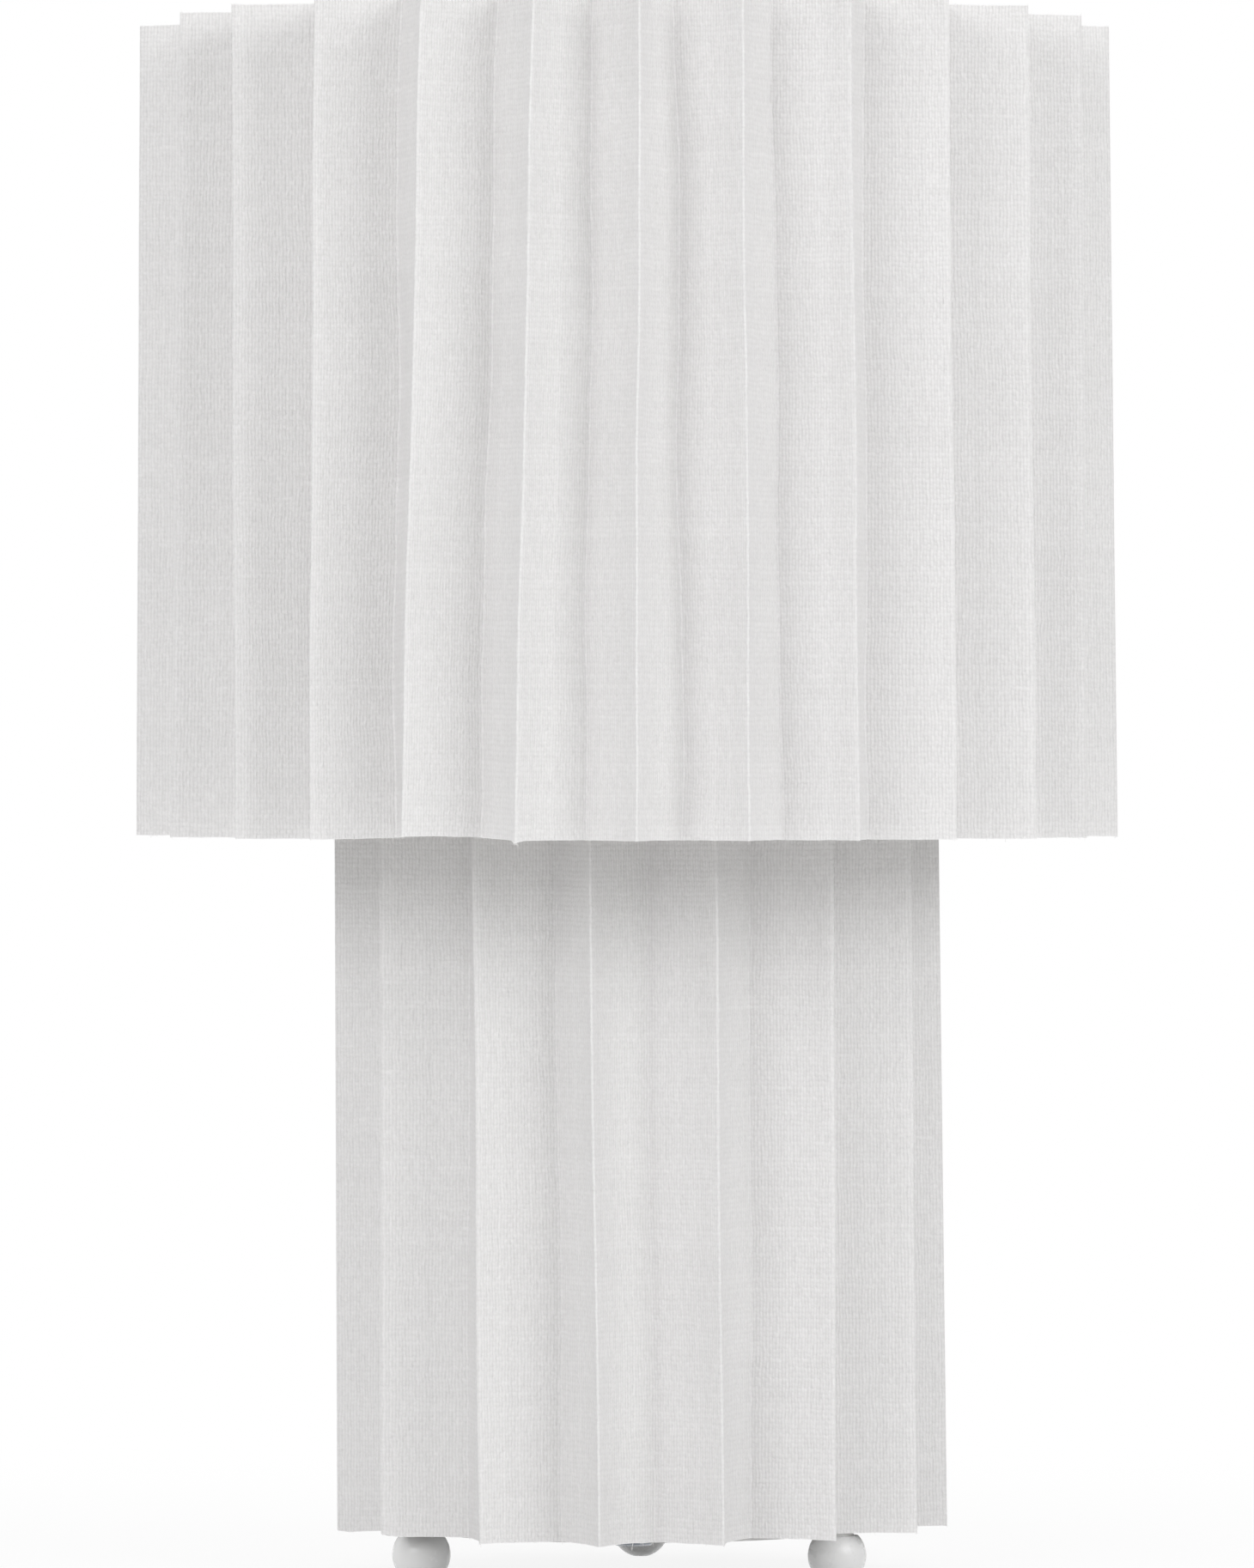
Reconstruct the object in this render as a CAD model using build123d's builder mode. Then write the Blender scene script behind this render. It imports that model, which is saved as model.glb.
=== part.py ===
from build123d import *
from math import cos, hypot, radians, sin
import os

os.makedirs("parts", exist_ok=True)

# Sizes are in millimetres, angles in degrees. Z is up, the floor is at zero and the lamp's axis is Z.
# Angles round the axis are counted from the front, which is -Y, towards +X.

# Gaps and fits
soft_gap = 0.3  # between a pleated cover and the metal that it is glued to
weld_gap = 0.1  # between two wires, or a wire and the plate it is welded to
thread_gap = 0.05  # round a threaded shank in its nut or hole
turning_gap = 0.35  # between two screw threads that turn in each other
hole_gap = 0.25  # round a screw or a tube in a plain hole

# Pleated covers: linen on a stiff backing
cover_thickness = 0.6

shade_height = 209.2
shade_top_radius = 125.4  # over the outer folds
shade_bottom_radius = 126.9
shade_pleats = 28
shade_pleat_depth = 18.9
shade_turned = 0.85  # angle of its first outer fold

column_height = 192.3
column_top_radius = 78.2
column_bottom_radius = 79.0
column_pleats = 15
column_pleat_depth = 18.2
column_turned = -8.9
column_in_shade = 14.0  # length of the column that is hidden in the shade

# Ball feet of turned wood
foot_radius = 7.5
foot_flat = 0.3  # cut off the ball where it stands
foot_top_cut = 2.3  # cut off the ball under the plate
foot_reach = 1.5  # of the feet's middles beyond the column's inner folds
foot_names = ("front_left", "front_right", "rear")
foot_first_fold = -2  # outer fold beside the front left foot, counted from the first
foot_from_fold = -5.0  # angle from an outer fold to the foot beside it

# Countersunk screws that hold the feet
foot_screw_radius = 1.5
foot_screw_head_width = 1.3  # of the head beyond the shank
foot_screw_in_foot = 8.0
foot_screw_slot_width = 0.7
foot_screw_slot_depth = 0.7
countersink_angle = 90.0

# Plates of the column and the ballast
bottom_plate_thickness = 3.0
top_plate_thickness = 2.0
top_plate_recess = 4.0  # below the column's upper rim
rim_lift = 0.3  # the column's lower rim above the tops of the feet
ballast_thickness = 10.0
ballast_edge = 1.5
ballast_margin = 2.0  # between the ballast and the cord bushing

# Threaded lamp tube and its nuts
tube_radius = 5.0
tube_wall = 1.25
tube_below_nut = 1.0
tube_edge = 0.4
nut_wall = 2.0
nut_height = 3.0
nut_edge = 0.5
washer_width = 4.75
washer_thickness = 1.0

# Snap-in bushing for the mains cord
bushing_bore_radius = 3.5
bushing_wall = 1.5
bushing_flange_width = 2.0
bushing_flange_thickness = 1.2
bushing_lip = 0.6
bushing_lip_height = 2.0
bushing_edge_margin = 3.6  # from the bushing's flange to the plate's edge
bushing_from_foot = -28.0  # angle from the rear foot to the bushing

# Standard bulb screw thread, 27 mm, in the bulb and in the holder
cap_thread_radius = 13.1
cap_thread_depth = 1.1
cap_thread_pitch = 3.63
cap_thread_turns = 4
cap_wall = 0.5
cap_collar_height = 7.5
insulator_height = 3.8
insulator_foot_edge = 1.0  # of the insulator round the contact
bulb_contact_radius = 4.5
bulb_contact_height = 1.2
bulb_seat_gap = 0.15

# Opal glass bulb, 60 mm
bulb_radius = 30.0
bulb_neck_height = 5.0
bulb_shoulder_height = 47.0
glass_thickness = 1.0
glass_in_collar = 2.0

# Bulb holder: a domed cap, a skirt with an outer thread, and the parts inside
shell_room = 3.35  # between the screw shell and the skirt
skirt_wall = 2.2
skirt_flange_width = 4.5
skirt_flange_thickness = 2.5
skirt_flange_lift = 11.5  # from the cap's rim to the flange
skirt_lip = 1.5  # the skirt above the screw shell
skirt_thread_pitch = 2.5
skirt_thread_depth = 0.5
spigot_wall = 1.6
holder_cap_step = 1.0  # the cap inside the skirt's outer radius
holder_cap_wall = 2.0
holder_neck_wall = 2.95
holder_neck_height = 6.0
holder_cap_straight = 5.5
terminal_ledge = 1.5
terminal_block_rise = 4.0  # above the cap's rim
terminal_screw_radius = 1.75
terminal_screw_head_width = 1.25
terminal_screw_head_height = 1.6
terminal_screw_length = 6.0
terminal_screw_spread = 9.5
grub_screw_radius = 1.5
grub_screw_length = 3.5
contact_width = 6.0
contact_length = 12.0
contact_thickness = 0.6
contact_rise = 2.4

# Nut that clamps the shade, and the ring it clamps
clamp_nut_wall = 8.15
clamp_nut_height = 8.0
clamp_nut_notches = 24
clamp_nut_notch_radius = 1.6
clamp_nut_edge = 0.8
fitter_gap = 0.5  # between the fitter ring's hole and the holder's thread
fitter_thickness = 2.0
fitter_weld_length = 5.0  # of each arm that lies on the fitter ring

# Wire frame of the shade
wire_radius = 1.5
ring_inset = 6.0  # from a rim to the middle of its ring
arm_count = 3
arm_first_angle = 60.0

# Heights of the column, from the floor up
foot_middle = foot_radius - foot_flat
foot_top = foot_middle + foot_radius - foot_top_cut
plate_top = foot_top + bottom_plate_thickness
ballast_top = plate_top + ballast_thickness
column_bottom = foot_top + rim_lift
column_top = column_bottom + column_height
top_plate_top = column_top - top_plate_recess
top_plate_bottom = top_plate_top - top_plate_thickness
washer_bottom = foot_top - washer_thickness
bottom_nut_bottom = washer_bottom - nut_height
tube_bottom = bottom_nut_bottom - tube_below_nut

# Heights of the shade
shade_bottom = column_top - column_in_shade
shade_top = shade_bottom + shade_height
bottom_ring_height = shade_bottom + ring_inset
top_ring_height = shade_top - ring_inset

# Radii of the bulb's cap and of what is built round it
cap_root_radius = cap_thread_radius - cap_thread_depth
shell_root_radius = cap_root_radius + turning_gap
skirt_inside = cap_thread_radius + turning_gap + cap_wall + shell_room
skirt_radius = skirt_inside + skirt_wall
skirt_flange_radius = skirt_radius + skirt_flange_width
holder_cap_radius = skirt_radius - holder_cap_step
holder_cap_inside = holder_cap_radius - holder_cap_wall
spigot_radius = holder_cap_inside - thread_gap
spigot_inside = spigot_radius - spigot_wall
terminal_block_radius = spigot_inside - hole_gap
clamp_nut_bore_radius = skirt_radius + turning_gap
clamp_nut_radius = clamp_nut_bore_radius + clamp_nut_wall
fitter_hole_radius = skirt_radius + fitter_gap
arm_start_radius = clamp_nut_radius + turning_gap
fitter_radius = arm_start_radius + fitter_weld_length

# Radii of the tube and of what is built round it
tube_hole_radius = tube_radius + hole_gap
nut_bore_radius = tube_radius + thread_gap
holder_neck_radius = nut_bore_radius + holder_neck_wall
holder_dome_radius = holder_cap_radius - holder_neck_radius

# Heights of the holder and the bulb
holder_bottom = top_plate_top + nut_height
dome_bottom = holder_bottom + holder_neck_height
dome_top = dome_bottom + holder_dome_radius
holder_cap_top = dome_top + holder_cap_straight
ledge_top = dome_top + terminal_ledge
block_top = holder_cap_top + terminal_block_rise
contact_top = block_top + contact_rise
bulb_bottom = contact_top + bulb_seat_gap
insulator_bottom = bulb_bottom + bulb_contact_height
cap_bottom = insulator_bottom + insulator_height
cap_thread_top = cap_bottom + cap_thread_turns * cap_thread_pitch
cap_top = cap_thread_top + cap_collar_height
skirt_top = cap_thread_top + skirt_lip
flange_bottom = holder_cap_top + skirt_flange_lift
flange_top = flange_bottom + skirt_flange_thickness
fitter_top = flange_top + fitter_thickness
arm_height = fitter_top + wire_radius

column = {
    "bottom": column_bottom,
    "top": column_top,
    "bottom_radius": column_bottom_radius,
    "top_radius": column_top_radius,
    "depth": column_pleat_depth,
    "pleats": column_pleats,
    "turned": column_turned,
}
shade = {
    "bottom": shade_bottom,
    "top": shade_top,
    "bottom_radius": shade_bottom_radius,
    "top_radius": shade_top_radius,
    "depth": shade_pleat_depth,
    "pleats": shade_pleats,
    "turned": shade_turned,
}


# Point of the ground plan at a radius and an angle from the front
def from_front(radius, angle):
    return radius * sin(radians(angle)), -radius * cos(radians(angle))


# Corners of one ring of pleats, outer folds and inner folds in turn.
# All facets lie at one distance from the axis, so a sheet's inner side is the same ring drawn smaller.
def pleat_corners(fold_radius, depth, count, turned, inset):
    half_pitch = 180 / count
    valley_radius = fold_radius - depth
    valley_x, valley_y = from_front(valley_radius, half_pitch)
    facet = hypot(valley_x, fold_radius + valley_y)
    axis_to_facet = fold_radius * valley_x / facet
    shrink = 1 - inset / axis_to_facet
    corners = []
    for i in range(count):
        angle = turned + 2 * i * half_pitch
        corners.append(from_front(fold_radius * shrink, angle))
        corners.append(from_front(valley_radius * shrink, angle + half_pitch))
    return corners


# Ring of pleats at one height of a cover that narrows evenly from its lower to its upper rim
def cover_corners(cover, height, inset=0.0):
    share = (height - cover["bottom"]) / (cover["top"] - cover["bottom"])
    size = 1 + share * (cover["top_radius"] / cover["bottom_radius"] - 1)
    fold_radius = cover["bottom_radius"] * size
    depth = cover["depth"] * size
    return pleat_corners(fold_radius, depth, cover["pleats"], cover["turned"], inset)


# Radius that just fits inside a cover's inner folds at one height
def inside_radius(cover, height):
    fold, inner_fold, *others = cover_corners(cover, height, cover_thickness)
    return hypot(*inner_fold)


# Room round a point of the ground plan, inside a cover's pleats
def room_inside(cover, height, point):
    corners = cover_corners(cover, height, cover_thickness)
    return Wire.make_polygon(corners, close=True).distance_to(Vertex(*point))


# Places of the feet, each beside an outer fold, and of what follows from them
foot_circle_radius = inside_radius(column, plate_top) + foot_reach
foot_angles = {}
for i, name in enumerate(foot_names):
    fold = foot_first_fold + round(i * column_pleats / len(foot_names))
    foot_angles[name] = column_turned + fold * 360 / column_pleats + foot_from_fold
foot_points = {name: from_front(foot_circle_radius, angle) for name, angle in foot_angles.items()}
ear_radius = min(room_inside(column, plate_top, point) for point in foot_points.values()) - soft_gap

bottom_plate_radius = inside_radius(column, plate_top) - soft_gap
top_plate_radius = inside_radius(column, column_top) - soft_gap
bushing_neck_radius = bushing_bore_radius + bushing_wall
bushing_flange_radius = bushing_neck_radius + bushing_flange_width
bushing_circle_radius = bottom_plate_radius - bushing_edge_margin - bushing_flange_radius
bushing_x, bushing_y = from_front(bushing_circle_radius, foot_angles["rear"] + bushing_from_foot)
ballast_radius = bushing_circle_radius - bushing_flange_radius - ballast_margin


# Writes one finished piece under its own name
def save(piece, name):
    piece.part.label = name
    export_step(piece.part, f"parts/{name}.step")


# One pleated cover, open at both ends
def pleated_cover(cover):
    with BuildPart() as piece:
        for height in (cover["bottom"], cover["top"]):
            with BuildSketch(Plane.XY.offset(height)):
                Polygon(*cover_corners(cover, height), align=None)
                inner_side = cover_corners(cover, height, cover_thickness)
                Polygon(*inner_side, align=None, mode=Mode.SUBTRACT)
        loft(ruled=True)
    return piece


# Piece turned about the lamp's axis from its outline, given as radius and height
def turned_piece(*outline):
    with BuildPart() as piece:
        with BuildSketch(Plane.XZ):
            with BuildLine():
                Polyline(*outline, close=True)
            make_face()
        revolve(axis=Axis.Z)
    return piece


# Flat disc with a hole for the lamp tube
def drilled_disc(radius, bottom, thickness):
    return turned_piece(
        (tube_hole_radius, bottom),
        (radius, bottom),
        (radius, bottom + thickness),
        (tube_hole_radius, bottom + thickness),
    )


# Hexagon nut on the lamp tube
def tube_nut(bottom):
    with BuildPart() as piece:
        with BuildSketch(Plane.XY.offset(bottom)):
            RegularPolygon(tube_radius + nut_wall, 6, major_radius=False)
            Circle(nut_bore_radius, mode=Mode.SUBTRACT)
        extrude(amount=nut_height)
        rims = piece.edges().filter_by(GeomType.LINE).filter_by(Plane.XY)
        chamfer(rims, nut_edge)
    return piece


# Points of a rolled thread, one crest and one root for each turn, from the bottom up
def thread_points(root_radius, depth, pitch, turns, bottom):
    points = [(root_radius, bottom)]
    for i in range(turns):
        points.append((root_radius + depth, bottom + (i + 0.5) * pitch))
        points.append((root_radius, bottom + (i + 1) * pitch))
    return points


# Points of the bulb's screw thread at one radius of its roots
def cap_thread(root_radius):
    return thread_points(root_radius, cap_thread_depth, cap_thread_pitch, cap_thread_turns, cap_bottom)


# Pleated covers
save(pleated_cover(column), "column_cover")
save(pleated_cover(shade), "shade_cover")

# Steel plate that the column is glued to, with an ear over each foot
with BuildPart() as bottom_plate:
    with BuildSketch(Plane.XY.offset(foot_top)):
        Circle(bottom_plate_radius)
        for angle in foot_angles.values():
            with Locations(from_front(foot_circle_radius / 2, angle)):
                SlotCenterToCenter(foot_circle_radius, 2 * ear_radius, rotation=angle - 90)
        Circle(tube_hole_radius, mode=Mode.SUBTRACT)
        with Locations((bushing_x, bushing_y)):
            Circle(bushing_neck_radius + thread_gap, mode=Mode.SUBTRACT)
    extrude(amount=bottom_plate_thickness)
    for x, y in foot_points.values():
        with Locations((x, y, plate_top)):
            CounterSinkHole(
                foot_screw_radius + hole_gap,
                foot_screw_radius + foot_screw_head_width + hole_gap,
                counter_sink_angle=countersink_angle,
            )
save(bottom_plate, "bottom_plate")

# Ball feet, flat on the floor and under the plate, each with a pilot hole for its screw
for name, (x, y) in foot_points.items():
    with BuildPart() as foot:
        with Locations((x, y, foot_middle)):
            Sphere(foot_radius)
        split(bisect_by=Plane.XY, keep=Keep.TOP)
        split(bisect_by=Plane.XY.offset(foot_top), keep=Keep.BOTTOM)
        with Locations((x, y, foot_top)):
            Hole(foot_screw_radius + thread_gap, depth=foot_screw_in_foot + thread_gap)
    save(foot, f"foot_{name}")

# Screws through the plate into the feet
foot_screw_length = bottom_plate_thickness + foot_screw_in_foot
foot_screw_head_radius = foot_screw_radius + foot_screw_head_width
with BuildPart() as foot_screws:
    for x, y in foot_points.values():
        with Locations((x, y, plate_top - foot_screw_head_width / 2)):
            Cone(foot_screw_radius, foot_screw_head_radius, foot_screw_head_width)
        with Locations((x, y, plate_top - foot_screw_length / 2)):
            Cylinder(foot_screw_radius, foot_screw_length)
        with Locations((x, y, plate_top - foot_screw_slot_depth / 2)):
            Box(
                2 * foot_screw_head_radius,
                foot_screw_slot_width,
                foot_screw_slot_depth,
                mode=Mode.SUBTRACT,
            )
save(foot_screws, "foot_screws")

# Cast iron disc that keeps the lamp from tipping
ballast_disc = drilled_disc(ballast_radius, plate_top, ballast_thickness)
with ballast_disc:
    upper_edges = ballast_disc.edges().filter_by(GeomType.CIRCLE).group_by(Axis.Z)[-1]
    fillet(upper_edges.sort_by(SortBy.RADIUS)[-1], ballast_edge)
save(ballast_disc, "ballast_disc")

# Plate that closes the column's top and carries the bulb holder
top_plate = drilled_disc(top_plate_radius, top_plate_bottom, top_plate_thickness)
save(top_plate, "top_plate")

# Threaded lamp tube from under the bottom plate up into the bulb holder
with BuildPart() as stem_tube:
    with BuildSketch(Plane.XY.offset(tube_bottom)):
        Circle(tube_radius)
        Circle(tube_radius - tube_wall, mode=Mode.SUBTRACT)
    extrude(amount=dome_bottom - tube_bottom)
    outer_ends = stem_tube.edges().filter_by(GeomType.CIRCLE).group_by(SortBy.RADIUS)[-1]
    chamfer(outer_ends, tube_edge)
save(stem_tube, "stem_tube")

# Washer and nuts on the tube
stem_washer = drilled_disc(tube_hole_radius + washer_width, washer_bottom, washer_thickness)
save(stem_washer, "stem_washer")
for name, bottom in (
    ("stem_nut_bottom", bottom_nut_bottom),
    ("ballast_nut", ballast_top),
    ("top_plate_nut_lower", top_plate_bottom - nut_height),
    ("top_plate_nut_upper", top_plate_top),
):
    save(tube_nut(bottom), name)

# Plastic bushing for the mains cord, snapped into the bottom plate from below
lip_bottom = plate_top + thread_gap
bushing_top = lip_bottom + bushing_lip_height
bushing_bottom = foot_top - bushing_flange_thickness
with BuildPart() as cord_bushing:
    with BuildSketch(Plane((bushing_x, bushing_y, 0), x_dir=(1, 0, 0), z_dir=(0, -1, 0))):
        with BuildLine():
            Polyline(
                (bushing_bore_radius, bushing_bottom),
                (bushing_flange_radius, bushing_bottom),
                (bushing_flange_radius, foot_top),
                (bushing_neck_radius, foot_top),
                (bushing_neck_radius, lip_bottom),
                (bushing_neck_radius + bushing_lip, lip_bottom),
                (bushing_neck_radius, bushing_top),
                (bushing_bore_radius, bushing_top),
                close=True,
            )
        make_face()
    revolve(axis=Axis((bushing_x, bushing_y, 0), (0, 0, 1)))
save(cord_bushing, "cord_bushing")

# Domed cap of the bulb holder, screwed on the tube and locked by a grub screw in its neck
dome_inside_bottom = dome_bottom + holder_cap_wall
grub_screw_height = holder_bottom + holder_neck_height / 2
with BuildPart() as holder_cap:
    with BuildSketch(Plane.XZ):
        with BuildLine():
            Polyline(
                (holder_neck_radius, dome_bottom),
                (holder_neck_radius, holder_bottom),
                (nut_bore_radius, holder_bottom),
                (nut_bore_radius, dome_inside_bottom),
                (holder_neck_radius, dome_inside_bottom),
            )
            JernArc((holder_neck_radius, dome_bottom), (1, 0), holder_dome_radius, 90)
            dome_inside_radius = holder_dome_radius - holder_cap_wall
            JernArc((holder_neck_radius, dome_inside_bottom), (1, 0), dome_inside_radius, 90)
            Polyline(
                (holder_cap_radius, dome_top),
                (holder_cap_radius, holder_cap_top),
                (holder_cap_inside, holder_cap_top),
                (holder_cap_inside, dome_top),
            )
        make_face()
    revolve(axis=Axis.Z)
    with BuildSketch(Plane.XZ):
        with Locations((0, grub_screw_height)):
            Circle(grub_screw_radius + thread_gap)
    extrude(amount=holder_cap_radius, mode=Mode.SUBTRACT)
save(holder_cap, "holder_cap")

with BuildPart() as holder_grub_screw:
    with BuildSketch(Plane.XZ.offset(nut_bore_radius)):
        with Locations((0, grub_screw_height)):
            Circle(grub_screw_radius)
    extrude(amount=grub_screw_length)
save(holder_grub_screw, "holder_grub_screw")

# Ceramic block with the terminals, its ledge clamped between the cap and the skirt
terminal_points = ((terminal_screw_spread, 0), (-terminal_screw_spread, 0))
with BuildPart() as terminal_block:
    for radius, bottom, top in (
        (holder_cap_inside - soft_gap, dome_top, ledge_top),
        (terminal_block_radius, ledge_top, block_top),
    ):
        with BuildSketch(Plane.XY.offset(bottom)):
            Circle(radius)
        extrude(amount=top - bottom)
    with BuildSketch(Plane.XY.offset(dome_top)):
        with Locations(*terminal_points):
            Circle(terminal_screw_radius + thread_gap)
    extrude(amount=terminal_screw_length + thread_gap, mode=Mode.SUBTRACT)
save(terminal_block, "terminal_block")

# Brass terminal screws under the block
with BuildPart() as terminal_screws:
    for radius, length in (
        (terminal_screw_radius + terminal_screw_head_width, -terminal_screw_head_height),
        (terminal_screw_radius, terminal_screw_length),
    ):
        with BuildSketch(Plane.XY.offset(dome_top)):
            with Locations(*terminal_points):
                Circle(radius)
        extrude(amount=length)
save(terminal_screws, "terminal_screws")

# Sprung brass tongue that meets the bulb's centre contact
tongue_end = contact_length / 3
tongue_bend = -contact_length / 3
with BuildPart() as centre_contact:
    with BuildSketch(Plane.XZ.offset(-contact_width / 2)):
        with BuildLine():
            Polyline(
                (tongue_end - contact_length, block_top),
                (tongue_bend, block_top),
                (0, contact_top - contact_thickness),
                (tongue_end, contact_top - contact_thickness),
                (tongue_end, contact_top),
                (-contact_thickness, contact_top),
                (tongue_bend - contact_thickness, block_top + contact_thickness),
                (tongue_end - contact_length, block_top + contact_thickness),
                close=True,
            )
        make_face()
    extrude(amount=contact_width)
save(centre_contact, "centre_contact")

# Screw shell of the holder, rolled from brass sheet round the bulb's own thread
thread_shell = turned_piece(
    (shell_root_radius, block_top),
    *cap_thread(shell_root_radius),
    *reversed(cap_thread(shell_root_radius + cap_wall)),
    (shell_root_radius + cap_wall, block_top),
)
save(thread_shell, "thread_shell")

# Skirt of the holder, with a spigot in the cap, a flange under the shade and an outer thread above it
skirt_root_radius = skirt_radius - skirt_thread_depth
skirt_thread_turns = int((skirt_top - flange_top) / skirt_thread_pitch)
skirt_thread = thread_points(
    skirt_root_radius,
    skirt_thread_depth,
    skirt_thread_pitch,
    skirt_thread_turns,
    flange_top,
)
holder_skirt = turned_piece(
    (spigot_inside, ledge_top + thread_gap),
    (spigot_radius, ledge_top + thread_gap),
    (spigot_radius, holder_cap_top),
    (skirt_radius, holder_cap_top),
    (skirt_radius, flange_bottom),
    (skirt_flange_radius, flange_bottom),
    (skirt_flange_radius, flange_top),
    *skirt_thread,
    (skirt_root_radius, skirt_top),
    (skirt_inside, skirt_top),
    (skirt_inside, holder_cap_top + skirt_wall),
    (spigot_inside, holder_cap_top + skirt_wall),
)
save(holder_skirt, "holder_skirt")

# Steel ring of the shade that sits on the holder's flange
fitter_ring = turned_piece(
    (fitter_hole_radius, flange_top),
    (fitter_radius, flange_top),
    (fitter_radius, fitter_top),
    (fitter_hole_radius, fitter_top),
)
save(fitter_ring, "fitter_ring")

# Notched nut that clamps the fitter ring
with BuildPart() as shade_clamp_nut:
    with BuildSketch(Plane.XY.offset(fitter_top)):
        Circle(clamp_nut_radius)
        Circle(clamp_nut_bore_radius, mode=Mode.SUBTRACT)
    extrude(amount=clamp_nut_height)
    upper_rims = shade_clamp_nut.edges().filter_by(GeomType.CIRCLE).group_by(Axis.Z)[-1]
    chamfer(upper_rims, clamp_nut_edge)
    with BuildSketch(Plane.XY.offset(fitter_top)):
        with PolarLocations(clamp_nut_radius + clamp_nut_notch_radius / 2, clamp_nut_notches):
            Circle(clamp_nut_notch_radius)
    extrude(amount=clamp_nut_height, mode=Mode.SUBTRACT)
save(shade_clamp_nut, "shade_clamp_nut")

# Wire rings of the shade, inside its inner folds
bottom_ring_radius = inside_radius(shade, bottom_ring_height) - soft_gap - wire_radius
top_ring_radius = inside_radius(shade, top_ring_height) - soft_gap - wire_radius
for name, radius, height in (
    ("shade_ring_bottom", bottom_ring_radius, bottom_ring_height),
    ("shade_ring_top", top_ring_radius, top_ring_height),
):
    with BuildPart() as ring:
        with Locations((0, 0, height)):
            Torus(radius, wire_radius)
    save(ring, name)


# Distance from the axis to the middle of a wire that joins the rings, at one height
def strut_radius(height):
    share = (height - bottom_ring_height) / (top_ring_height - bottom_ring_height)
    return bottom_ring_radius + share * (top_ring_radius - bottom_ring_radius)


# Wires that join the two rings, and arms from these wires to the fitter ring
strut_bottom = bottom_ring_height + wire_radius + weld_gap
strut_top = top_ring_height - wire_radius - weld_gap
arm_end_radius = strut_radius(arm_height) - wire_radius - weld_gap
struts = []
arms = []
for i in range(arm_count):
    angle = arm_first_angle + i * 360 / arm_count
    foot_of_strut = (*from_front(strut_radius(strut_bottom), angle), strut_bottom)
    head_of_strut = (*from_front(strut_radius(strut_top), angle), strut_top)
    struts.append((foot_of_strut, head_of_strut))
    start_of_arm = (*from_front(arm_start_radius, angle), arm_height)
    end_of_arm = (*from_front(arm_end_radius, angle), arm_height)
    arms.append((start_of_arm, end_of_arm))
for name, wires in (("shade_struts", struts), ("spider_arms", arms)):
    with BuildPart() as wire_group:
        for start, end in wires:
            along = Vector(*end) - Vector(*start)
            with BuildSketch(Plane(origin=start, z_dir=along)):
                Circle(wire_radius)
            extrude(amount=along.length)
    save(wire_group, name)

# Screw cap of the bulb, a thin metal shell
bulb_cap = turned_piece(
    *cap_thread(cap_root_radius),
    (cap_root_radius, cap_top),
    (cap_root_radius - cap_wall, cap_top),
    *reversed(cap_thread(cap_root_radius - cap_wall)),
)
save(bulb_cap, "bulb_cap")

# Glass insulator and centre contact under the cap
bulb_insulator = turned_piece(
    (0, insulator_bottom),
    (bulb_contact_radius + insulator_foot_edge, insulator_bottom),
    (cap_root_radius, cap_bottom),
    (0, cap_bottom),
)
save(bulb_insulator, "bulb_insulator")
bulb_contact = turned_piece(
    (0, bulb_bottom),
    (bulb_contact_radius, bulb_bottom),
    (bulb_contact_radius, insulator_bottom),
    (0, insulator_bottom),
)
save(bulb_contact, "bulb_contact")

# Opal glass of the bulb, blown thin, with its neck in the cap
neck_outside = cap_root_radius - cap_wall - thread_gap
neck_bottom = cap_top - glass_in_collar
neck_top = neck_bottom + bulb_neck_height
bulb_middle = neck_top + bulb_shoulder_height
with BuildPart() as bulb_glass:
    for wall, mode in ((0, Mode.ADD), (glass_thickness, Mode.SUBTRACT)):
        neck_radius = neck_outside - wall
        ball_radius = bulb_radius - wall
        with BuildSketch(Plane.XZ):
            with BuildLine():
                Polyline(
                    (0, bulb_middle + ball_radius),
                    (0, neck_bottom),
                    (neck_radius, neck_bottom),
                    (neck_radius, neck_top),
                )
                Spline(
                    (neck_radius, neck_top),
                    (ball_radius, bulb_middle),
                    tangents=[(0, 1), (0, 1)],
                )
                JernArc((ball_radius, bulb_middle), (0, 1), ball_radius, 90)
            make_face()
        revolve(axis=Axis.Z, mode=mode)
save(bulb_glass, "bulb_glass")

print("lamp height", round(shade_top, 2), "shade rim", round(shade_bottom, 2))
print("plate radius", round(bottom_plate_radius, 2), "ear radius", round(ear_radius, 2))
print("foot circle", round(foot_circle_radius, 3), {n: round(a, 2) for n, a in foot_angles.items()})
print("ballast radius", round(ballast_radius, 2), "bushing", round(bushing_x, 3), round(bushing_y, 3))
print("bushing from", round(bushing_bottom, 2), "to", round(bushing_top, 2))
print("fitter ring top", round(fitter_top, 2), "skirt top", round(skirt_top, 2))
print("bulb top", round(bulb_middle + bulb_radius, 2))
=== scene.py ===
from math import atan, cos, pi, radians, sin

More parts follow.
